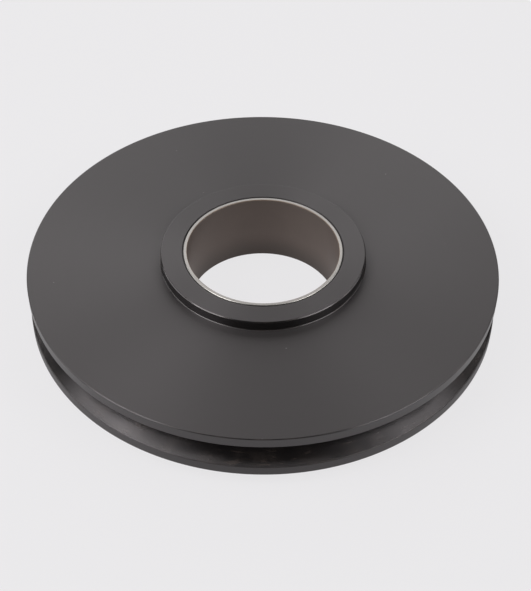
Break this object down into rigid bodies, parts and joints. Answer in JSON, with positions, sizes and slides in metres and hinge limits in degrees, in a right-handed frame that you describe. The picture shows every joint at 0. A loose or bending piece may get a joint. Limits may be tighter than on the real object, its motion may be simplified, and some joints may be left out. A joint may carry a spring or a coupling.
{
  "type": "rope pulley",
  "caption": "Flat rope sheave turned from dark cast plastic, with a round-bottomed rim groove, a hub that stands proud of both faces and a thin sliding bush pressed into its bore.",
  "frame": {"origin": "on the bore axis, half way along the hub", "axes": "+Z along the bore axis, towards the hub face that stands less proud; the sheave lies on the other hub face; X and Y are any two square radii"},
  "size_m": [0.31, 0.31, 0.05],
  "materials": {
    "sheave": "smooth satin turned face, dark charcoal grey",
    "bush": "bright turned end, dull brownish grey sliding layer inside"
  },
  "bodies": {
    "root": {"sheave": "sheave", "bush": "bush"}
  },
  "joints": []
}
